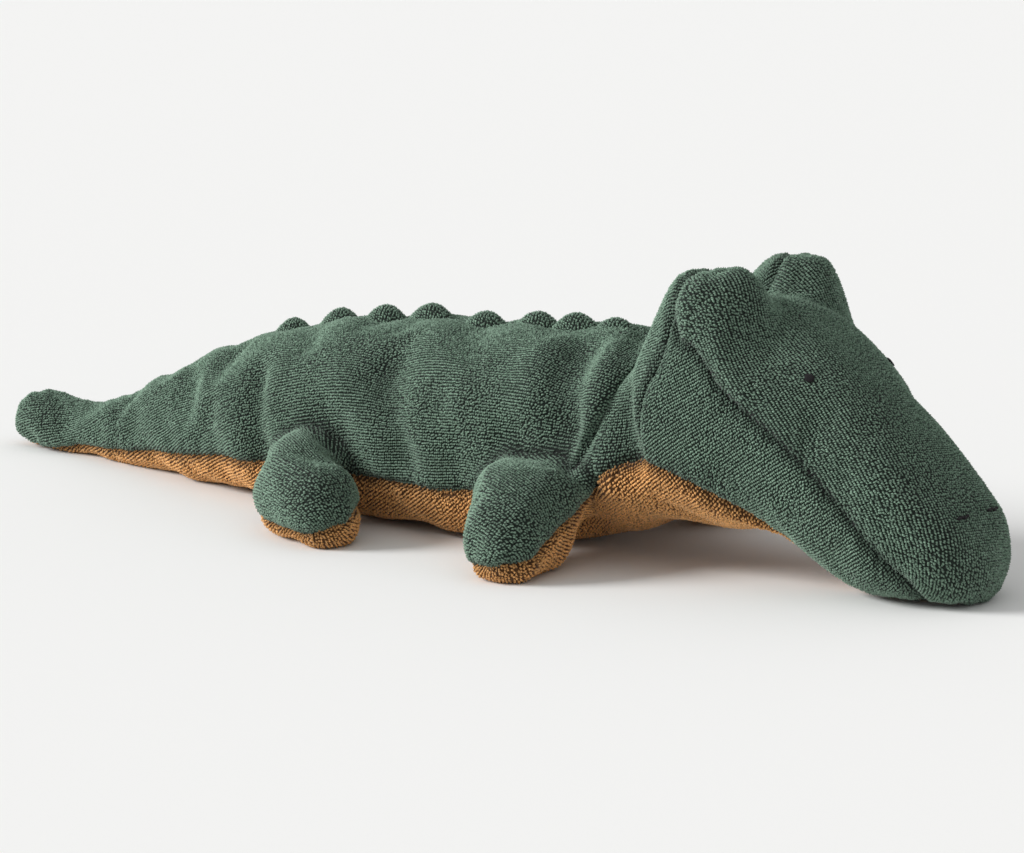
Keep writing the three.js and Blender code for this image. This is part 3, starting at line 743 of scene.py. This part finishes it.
def pileTree(loop, low, high, grain, size, seed, wander):
    tree = bpy.data.node_groups.new("pile", "GeometryNodeTree")
    for direction in ("INPUT", "OUTPUT"):
        tree.interface.new_socket("Geometry", in_out=direction, socket_type="NodeSocketGeometry")
    add = partial(addNode, tree)
    cloth = add("NodeGroupInput").outputs[0]

    def vector(operation, first, second):
        return add("ShaderNodeVectorMath", {0: first, 1: second}, operation=operation).outputs[0]

    def named(name, kind="FLOAT_VECTOR"):
        return add("GeometryNodeInputNamedAttribute", {"Name": name}, data_type=kind).outputs[0]

    def store(geometry, name, value, kind="FLOAT_VECTOR", domain="POINT"):
        return add("GeometryNodeStoreNamedAttribute", {"Geometry": geometry, "Name": name, "Value": value},
                   data_type=kind, domain=domain).outputs[0]

    def drawn(least, most, draw, kind="FLOAT_VECTOR"):
        return add("FunctionNodeRandomValue", {"Min": least, "Max": most, "Seed": seed + draw},
                   data_type=kind).outputs["Value"]

    # Rows and columns over the pattern's box, turned by the grain
    turn = math.radians(grain)
    pitch, rowPitch = pile["pitch"] * size * mm, pile["rowPitch"] * size * mm
    box = [(u * math.cos(turn) + v * math.sin(turn), v * math.cos(turn) - u * math.sin(turn))
           for u in (low[0], high[0]) for v in (low[1], high[1])]
    first = [math.floor(min(spot[i] for spot in box) / step) for i, step in enumerate((pitch, rowPitch))]
    last = [math.ceil(max(spot[i] for spot in box) / step) for i, step in enumerate((pitch, rowPitch))]
    columns, rows = last[0] - first[0], last[1] - first[1]
    grid = add("GeometryNodeMeshGrid", {"Size X": columns * pitch, "Size Y": rows * rowPitch,
                                        "Vertices X": columns + 1, "Vertices Y": rows + 1}).outputs[0]
    centre = ((first[0] + last[0]) / 2 * pitch, (first[1] + last[1]) / 2 * rowPitch, 0)
    place = add("GeometryNodeInputPosition").outputs[0]
    wander *= size * mm
    mess = add("ShaderNodeTexNoise", {"Vector": place, "Scale": pile["messScale"], "Detail": 1}).outputs[0]
    messy = add("ShaderNodeMapRange", {"Value": mess, **pile["mess"]}).outputs[0]
    across = wander * pile["strayAcross"]
    stray = drawn((-wander, -across, 0), (wander, across, 0), 0)
    strayed = add("ShaderNodeVectorMath", {0: stray, "Scale": messy}, operation="SCALE").outputs[0]
    spot = vector("ADD", vector("ADD", place, centre), strayed)
    laid = add("ShaderNodeVectorRotate", {"Vector": spot, "Angle": turn}, rotation_type="Z_AXIS").outputs[0]
    points = store(grid, "pileSpot", laid)
    at, pattern = named("pileSpot"), named("cloth")

    def onCloth(value, spot):
        node = add("GeometryNodeSampleUVSurface", {"Mesh": cloth, "Value": value, "UV Map": pattern,
                                                   "Sample UV": spot}, data_type="FLOAT_VECTOR")
        return node.outputs["Value"], node.outputs["Is Valid"]

    # The cloth's place, its normal and the way along its row, at each spot
    root, there = onCloth(place, at)
    upward, _ = onCloth(add("GeometryNodeInputNormal").outputs[0], at)
    step = (math.cos(turn) * pitch, math.sin(turn) * pitch, 0)
    ahead, aheadThere = onCloth(place, vector("ADD", at, step))
    behind, _ = onCloth(place, vector("SUBTRACT", at, step))
    ways = {"False": vector("SUBTRACT", root, behind), "True": vector("SUBTRACT", ahead, root)}
    along = add("GeometryNodeSwitch", {"Switch": aheadThere, **ways}, input_type="VECTOR").outputs[0]
    points = store(store(points, "pileUp", upward), "pileWay", along)
    missing = add("FunctionNodeBooleanMath", {0: there}, operation="NOT").outputs[0]
    points = add("GeometryNodeDeleteGeometry", {"Geometry": points, "Selection": missing},
                 domain="POINT").outputs[0]
    points = add("GeometryNodeSetPosition", {"Geometry": points, "Position": root}).outputs[0]
    # Painted shade from the seams and folds, carried over to each loop
    paintedShade = add("ShaderNodeCombineXYZ", {"X": named("pileShade", "FLOAT")}).outputs[0]
    shade = add("ShaderNodeSeparateXYZ", {0: onCloth(paintedShade, at)[0]}).outputs[0]
    points = store(points, "pileShade", shade, "FLOAT")

    # Each loop stands on the cloth, slanted to its row
    axes = {"Primary Axis": named("pileUp"), "Secondary Axis": named("pileWay")}
    stand = add("FunctionNodeAxesToRotation", axes, primary_axis="Z", secondary_axis="X").outputs[0]
    lean, slant, swing = (math.radians(pile[key]) for key in ("lean", "slant", "swing"))
    leaning = add("FunctionNodeEulerToRotation", {
        0: drawn((-lean, -lean, slant - swing), (lean, lean, slant + swing), 1)}).outputs[0]
    turned = add("FunctionNodeRotateRotation", {"Rotation": stand, "Rotate By": leaning},
                 rotation_space="LOCAL").outputs[0]
    small, large = (size * share for share in pile["sizes"])
    yarn = add("GeometryNodeObjectInfo", {"Object": loop}).outputs["Geometry"]
    stood = add("GeometryNodeInstanceOnPoints", {
        "Points": points, "Instance": yarn, "Rotation": turned,
        "Scale": drawn((small, small, small), (large, large, large), 2)}).outputs[0]
    stood = store(stood, "pileTone", drawn(pile["leastTone"], 1.0, 3, "FLOAT"), "FLOAT", "INSTANCE")
    real = add("GeometryNodeRealizeInstances", {"Geometry": stood}).outputs[0]
    mapped = store(real, "cloth", vector("ADD", at, named("pileOffset")), "FLOAT2", "CORNER")
    joined = add("GeometryNodeJoinGeometry")
    tree.links.new(mapped, joined.inputs[0])
    tree.links.new(cloth, joined.inputs[0])
    out = joined.outputs[0]
    for name in ("pileSpot", "pileUp", "pileWay", "pileOffset"):
        out = add("GeometryNodeRemoveAttribute", {"Geometry": out, "Name": name}).outputs[0]
    add("NodeGroupOutput", {0: out})
    return tree


def growPile(obj, loop, grain, size, seed, wander=pile["wander"]):
    mesh = obj.data
    uv = valuesOf(mesh.uv_layers["cloth"].uv, "vector", 2)
    modifier = obj.modifiers.new("pile", "NODES")
    modifier.node_group = pileTree(loop, uv.min(0), uv.max(0), grain, size, seed, wander)
    grown = evaluated(obj)
    obj.modifiers.remove(modifier)
    material = mesh.materials[0]
    obj.data = grown
    grown.materials.clear()
    grown.materials.append(material)
    grown.polygons.foreach_set("material_index", np.zeros(len(grown.polygons), np.int32))
    fitMap(grown)


def fitMap(mesh):
    uv = valuesOf(mesh.uv_layers["cloth"].uv, "vector", 2)
    uv = (uv - uv.min(0)) / np.ptp(uv, axis=0).max() * (1 - 2 * pile["trim"]) + pile["trim"]
    mesh.uv_layers.remove(mesh.uv_layers["cloth"])
    layer = mesh.uv_layers.new(name="OFBake", do_init=False)
    layer.uv.foreach_set("vector", uv.ravel())


# Cloth and thread
cloths = {
    # Root and Tip: the yarn's colour at a loop's foot and top; Root is darkened with painted shade, for the
    # shade low between the loops
    "green_terry": {"Root": (0.05, 0.083, 0.061, 1), "Tip": (0.19, 0.288, 0.214, 1), "Spread": 0.45},
    "ochre_terry": {"Root": (0.4, 0.18, 0.055, 1), "Tip": (0.86, 0.46, 0.17, 1), "Spread": 0.4},
    "tipFrom": 0.65,  # height of the loop from which it has the tip's colour; below it the root's painted shade sets in
    "ground": 0.3,  # painted shade: how bright the cloth under the loops is painted, as it lies in their shade
    "mottle": 0.35, "mottleScale": 60, "lightness": 0.6,
    "fibreScale": 1500, "fibreContrast": 1.5,
    "shaded": 0.6,  # how much darker the yarn is painted where pileShade marks painted shade in seams and folds
    "bump": 0.35, "bumpDepth": 0.2, "twistScale": 3200,
    "surface": {"Roughness": 0.92, "Specular IOR Level": 0.2, "Sheen Weight": 0.15, "Sheen Roughness": 0.5},
}
thread = {
    "surface": {"Base Color": (0.006, 0.005, 0.006, 1), "Roughness": 0.7, "Specular IOR Level": 0.2},
    "bump": 0.4, "bumpDepth": 0.1, "twistScale": 4000,
}


def terryEffect():
    group = bpy.data.node_groups.new("terryYarn", "ShaderNodeTree")
    for title, way, kind in (("Root", "INPUT", "Color"), ("Tip", "INPUT", "Color"),
                             ("Spread", "INPUT", "Float"), ("Color", "OUTPUT", "Color"),
                             ("Height", "OUTPUT", "Float")):
        group.interface.new_socket(title, in_out=way, socket_type="NodeSocket" + kind)
    given, out = group.nodes.new("NodeGroupInput").outputs, group.nodes.new("NodeGroupOutput").inputs
    add = partial(addNode, group)

    def maths(operation, *values):
        return add("ShaderNodeMath", dict(enumerate(values)), operation=operation).outputs[0]

    def noise(scale, detail):
        return add("ShaderNodeTexNoise", {"Vector": place, "Scale": scale, "Detail": detail}).outputs[0]

    height, tone, paintedShade = (add("ShaderNodeAttribute", attribute_name=name).outputs["Fac"]
                            for name in ("pileHeight", "pileTone", "pileShade"))
    place = add("ShaderNodeTexCoord").outputs["Object"]
    # painted shade: each loop is painted darker towards its root, where the loops shade each other
    risen = add("ShaderNodeMapRange", {"Value": height, "From Min": 0, "From Max": cloths["tipFrom"]},
                interpolation_type="SMOOTHSTEP").outputs[0]
    colours = {"Factor": risen, 6: given["Root"], 7: given["Tip"]}
    yarn = add("ShaderNodeMix", colours, data_type="RGBA").outputs[2]
    uneven = maths("ADD", maths("MULTIPLY", tone, given["Spread"]),
                   maths("MULTIPLY", noise(cloths["mottleScale"], 3), cloths["mottle"]))
    contrast = cloths["fibreContrast"]
    fine = maths("MULTIPLY_ADD", noise(cloths["fibreScale"], 1), contrast, cloths["lightness"] - contrast / 2)
    # painted shade on the cloth under the loops
    ground = add("ShaderNodeMapRange", {"Value": tone, "From Min": 0, "From Max": pile["leastTone"],
                                        "To Min": cloths["ground"], "To Max": 1}).outputs[0]
    # painted shade in seams and folds
    unshaded = maths("MULTIPLY_ADD", paintedShade, -cloths["shaded"], 1.0)
    bright = maths("MULTIPLY", maths("ADD", uneven, fine), maths("MULTIPLY", ground, unshaded))
    lit = add("ShaderNodeVectorMath", {0: yarn, "Scale": bright}, operation="SCALE").outputs[0]
    group.links.new(lit, out["Color"])
    group.links.new(noise(cloths["twistScale"], 2), out["Height"])
    return group


def terryMaterial(name, effect):
    material = newMaterial(name + "_cloth", cloths["surface"])
    tree = material.node_tree
    yarn = addNode(tree, "ShaderNodeGroup", node_tree=effect)
    for title, value in cloths[name].items():
        yarn.inputs[title].default_value = value
    fibre = addNode(tree, "ShaderNodeBump", {
        "Height": yarn.outputs["Height"], "Strength": cloths["bump"], "Distance": cloths["bumpDepth"] * mm})
    shader = tree.nodes["Principled BSDF"].inputs
    tree.links.new(yarn.outputs["Color"], shader["Base Color"])
    tree.links.new(fibre.outputs[0], shader["Normal"])
    return material


def threadMaterial():
    material = newMaterial("black_thread_yarn", thread["surface"])
    tree = material.node_tree
    place = addNode(tree, "ShaderNodeTexCoord").outputs["Object"]
    twist = addNode(tree, "ShaderNodeTexNoise", {"Vector": place, "Scale": thread["twistScale"], "Detail": 2})
    bumpy = addNode(tree, "ShaderNodeBump", {
        "Height": twist.outputs[0], "Strength": thread["bump"], "Distance": thread["bumpDepth"] * mm})
    tree.links.new(bumpy.outputs[0], tree.nodes["Principled BSDF"].inputs["Normal"])
    return material


# Pieces: one for each cloth panel of each moving part
bends = {  # part: the two bodies and a stretch along X, which are not used; a listed part's cloth is baked in place
    "tail_tip": ("tail", "tail_tip", -164, -216),
    "tail": ("torso", "tail", -80, -136),
    "neck": ("torso", "neck", 103, 120),
    "head": ("neck", "head", 126, 150),
}
partNames = ["tail_tip", "tail", "torso", "neck", "head"]
panelPieces = []  # name, part, panels, nodes that it stands for
for part, under in (("tail_tip", "tail_tip_under"), ("tail", "tail_under"), ("torso", "torso_belly")):
    for panel, hand in enumerate(("right", "left")):
        name = f"{part}_side_{hand}"
        panelPieces.append((name, part, (panel,), (name,)))
    panelPieces.append((under, part, (2,), (under, part + "_filling")))
panelPieces += [
    ("neck_sides", "neck", (0, 1), ("neck_filling",)),
    ("neck_throat", "neck", (2,), ()),
    ("nape", "head", (0, 1), ("nape_panel",)),
    ("cheek_right", "head", (4,), ("cheek_right",)),
    ("cheek_left", "head", (5,), ("cheek_left",)),
    ("head_top", "head", (3,), ("head_top_panel", "head_filling")),
    ("chin", "head", (2,), ("chin_panel",)),
]
legPieces = [  # ending, slot, seed before the leg's number, endings of the nodes that it stands for
    ("_top", "green_terry", 40, ("_top", "_filling")),
    ("_sole", "ochre_terry", 50, ("_sole",)),
]


def cutPiece(skin, name, wanted, material, side=None):
    bm = bmesh.new()
    bm.from_mesh(skin.data)
    panel, leg, part = (bm.faces.layers.int[key] for key in ("panel", "legNumber", "part"))
    sewn = bm.edges.layers.int.new("sewn")
    for edge in bm.edges:
        a, b = edge.link_faces
        edge[sewn] = a[panel] != b[panel]
    others = [face for face in bm.faces if not wanted(face[panel], face[leg], partNames[face[part]])]
    bmesh.ops.delete(bm, geom=others, context="FACES")
    cut = [edge for edge in bm.edges if edge.is_boundary]
    rim = [edge for edge in cut if edge[sewn]]
    root = [edge for edge in cut if not edge[sewn]] if "front_leg" in name else []
    inward = {vert: vert.normal.copy() for edge in rim for vert in edge.verts}
    turned = bmesh.ops.extrude_edge_only(bm, edges=rim)["geom"]
    for vert in (item for item in turned if isinstance(item, bmesh.types.BMVert)):
        source = next(e.other_vert(vert) for e in vert.link_edges if e.other_vert(vert) in inward)
        vert.co -= inward[source] * seams["turnedIn"] * mm
    centre = Vector((legs["front"]["hip"][0], 0, legs["height"] * seams["rootMiddle"])) * mm
    for _ in range(seams["flangeSteps"] if root else 0):  # under the side's cloth, for when the neck turns
        grown = bmesh.ops.extrude_edge_only(bm, edges=root)["geom"]
        root = [item for item in grown if isinstance(item, bmesh.types.BMEdge)]
        for vert in (item for item in grown if isinstance(item, bmesh.types.BMVert)):
            outward = ((vert.co - centre) * Vector((1, 0, 1))).normalized()
            spot, normal = side(vert.co + outward * seams["underlap"] / seams["flangeSteps"] * mm)
            vert.co = spot - normal * seams["sink"] * mm
    for key in ("panel", "legNumber", "part"):
        bm.faces.layers.int.remove(bm.faces.layers.int[key])
    for key in ("row", "station", "leg"):
        bm.verts.layers.int.remove(bm.verts.layers.int[key])
    bm.edges.layers.int.remove(bm.edges.layers.int["sewn"])
    return finished("cloth_" + name, bm, material)


def makePanels(skin, materials, loops):
    made = []
    for seed, (name, part, panels, nodes) in enumerate(panelPieces):
        slot = "ochre_terry" if panels == (2,) else "green_terry"
        piece = cutPiece(skin, name, lambda p, leg, where: p in panels and not leg and where == part,
                         materials[slot])
        made.append((piece, part, slot, nodes, seed))
    side = skinLookup(skin.data, numbersOf(skin.data, "leg") == 0)
    for number, leg in enumerate(legNames[1:], 1):
        for ending, slot, seed, nodes in legPieces:
            sole = ending == "_sole"
            piece = cutPiece(skin, leg + ending, lambda p, on, where: on == number and (p == 2) == sole,
                             materials[slot], side)
            made.append((piece, leg, slot, [leg + node for node in nodes], seed + number))
    for piece, part, slot, nodes, seed in made:
        grain = pile["grains"].get(slot, 0) + pile["grains"].get(piece.name[6:], 0)
        wander = pile["headWander" if part == "head" else "wander"]
        size = pile["loopSizes"].get(piece.name[6:], pile["loopSizes"][slot])
        growPile(piece, loops[slot], grain, size, pile["seedsApart"] * seed, wander)
        moveWith(piece, part)
        if nodes:
            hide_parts(*nodes)
        print(piece.name, len(piece.data.polygons))
    bpy.data.objects.remove(skin)


def moveWith(piece, part):
    if part == "torso":
        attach(piece, "torso")
    elif part in bends:
        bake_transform(piece)
    else:
        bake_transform(piece)


# Scallops of the back: two small cloths sewn along the arc, a little filling between them
scallop = {
    "segments": 28, "rings": 18, "longer": 1.6, "taller": 1.1, "thicker": 1.15, "peak": (1.8, 1.1),
    "sunk": (5, 4.6, 4.8, 3.7, 5.6, 5, 5, 5.6),
    "rimDepth": 0.5, "rimWidth": 1.2, "loopSize": 0.9, "mapAcross": 0.9, "mapAlong": 0.8, "seed": 500,
}


def makeScallops(material, loop):
    for number in range(1, 9):
        node = f"spine_scallop_{number}"
        low, high = (Vector(corner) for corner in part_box(node))
        size, middle = high - low, (low + high) / 2
        bm = bmesh.new()
        uv = bm.loops.layers.uv.new("cloth")
        bmesh.ops.create_uvsphere(bm, u_segments=scallop["segments"], v_segments=scallop["rings"], radius=1,
                                  calc_uvs=True)
        length, height = size.x / 2 * scallop["longer"], size.z * scallop["taller"]
        bmesh.ops.rotate(bm, verts=bm.verts, cent=(0, 0, 0), matrix=Matrix.Rotation(math.pi / 2, 3, "Y"))
        rim = scallop["rimDepth"] * mm
        power, peak = scallop["peak"]
        for vert in bm.verts:
            inRim = math.exp(-((vert.co.y * size.y / 2 / mm / scallop["rimWidth"]) ** 2))
            across = abs(vert.co.x)
            bell = max(1 - across**power, 0) ** peak / math.sqrt(max(1 - across**2, 1e-4))
            vert.co = Vector((vert.co.x * (length - rim * inRim), vert.co.y * size.y / 2 * scallop["thicker"],
                              vert.co.z * bell * (height - rim * inRim)))
        base = low.z - scallop["sunk"][number - 1] * mm
        bmesh.ops.translate(bm, verts=bm.verts, vec=(middle.x, middle.y, base))
        for corner in (corner for face in bm.faces for corner in face.loops):
            corner[uv].uv.x *= math.pi * (size.y / 2 + height) * scallop["mapAcross"]
            corner[uv].uv.y *= math.pi * length * scallop["mapAlong"]
        piece = finished("cloth_" + node, bm, material)
        growPile(piece, loop, 0, scallop["loopSize"], scallop["seed"] + number)
        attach(piece, "torso")
        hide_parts(node)
    print("scallops: 8")


# Eyes and nostrils: satin stitches in black thread, on the loops' tips
stitches = {
    "eye": {"strands": 6, "length": 4.4, "width": 3.2, "thick": 0.85, "back": 2, "taper": 0.92,
            "swing": 0.06},
    "nostril": {"strands": 4, "length": 2.8, "gap": 1.9, "thick": 1.2, "back": -3, "uneven": 0.15,
                "aside": 0.25, "sunk": 0.1, "swing": 0.25},
    "around": 10, "along": 8, "depth": 1.1,
    "raisedBy": 0.95,  # of the loops' height
}


def makeStitches(surface, material):
    for node in ("eye_right", "eye_left", "nostril_right", "nostril_left"):
        low, high = (Vector(corner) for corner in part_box(node))
        kind = node.split("_")[0]
        values = stitches[kind]
        spot, normal = surface((low + high) / 2 - Vector((values["back"] * mm, 0, 0)))
        across = Vector((0, 1, 0))
        across = (across - normal * across.dot(normal)).normalized()
        ahead = across.cross(normal)
        bm = bmesh.new()
        for i in range(values["strands"]):
            aside = i - (values["strands"] - 1) / 2
            strand = bmesh.ops.create_uvsphere(bm, u_segments=stitches["around"],
                                               v_segments=stitches["along"], radius=0.5)["verts"]
            if kind == "eye":  # side by side, the outer ones shorter
                share = aside / (values["strands"] / 2)
                length = values["length"] * math.sqrt(1 - share**2 * values["taper"])
                place = (0, share * values["width"] / 2, 0)
                turn = values["swing"] * math.sin(5 * i)
            else:  # end to end, a little uneven
                length = values["length"] * (1 + values["uneven"] * (math.cos(3 * i) - 1))
                place = (values["aside"] * math.sin(4 * i), aside * values["gap"], -values["sunk"])
                turn = math.pi / 2 + values["swing"] * math.sin(7 * i)
            deep = values["thick"] * stitches["depth"]
            bmesh.ops.scale(bm, verts=strand, vec=(length, values["thick"], deep))
            bmesh.ops.rotate(bm, verts=strand, cent=(0, 0, 0), matrix=Matrix.Rotation(turn, 3, "Z"))
            bmesh.ops.translate(bm, verts=strand, vec=place)
        stand = Matrix((ahead, across, normal)).transposed()
        raised = Vector((0, 0, pile["height"] * stitches["raisedBy"] * mm))
        for vert in bm.verts:
            vert.co = spot + stand @ (vert.co * mm + raised)
        bmesh.ops.recalc_face_normals(bm, faces=bm.faces)
        piece = finished("thread_" + node, bm, material)
        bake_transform(piece)
        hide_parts(node)
    print("eyes and nostrils")


def skinLookup(mesh, kept):
    tree = treeOf([(number, mesh.vertices[number].co) for number in np.flatnonzero(kept)])

    def surface(spot):
        vert = mesh.vertices[tree.find(spot)[1]]
        return vert.co.copy(), vert.normal.copy()

    return surface


makeStudio()
skin = makeCage()
roundCage(skin)
sculptHead(skin.data)
layPanelsFlat(skin)
sculptFolds(skin.data, stuffing["foldsBefore"])
stuff(skin)
skin.data = subdivided(skin, 1)
drawInSeams(skin.data)
sculptFolds(skin.data, 1 - stuffing["foldsBefore"])
spots = placesOf(skin.data) / mm
print("skin:", len(skin.data.polygons), "faces, box", spots.min(0).round(1), spots.max(0).round(1))
effect = terryEffect()
materials = {name: terryMaterial(name, effect) for name in ("green_terry", "ochre_terry")}
loops = {name: makeLoop(material) for name, material in materials.items()}
makeStitches(skinLookup(skin.data, np.ones(len(skin.data.vertices))), threadMaterial())
makePanels(skin, materials, loops)
makeScallops(materials["green_terry"], loops["green_terry"])
for loop in loops.values():
    bpy.data.objects.remove(loop)
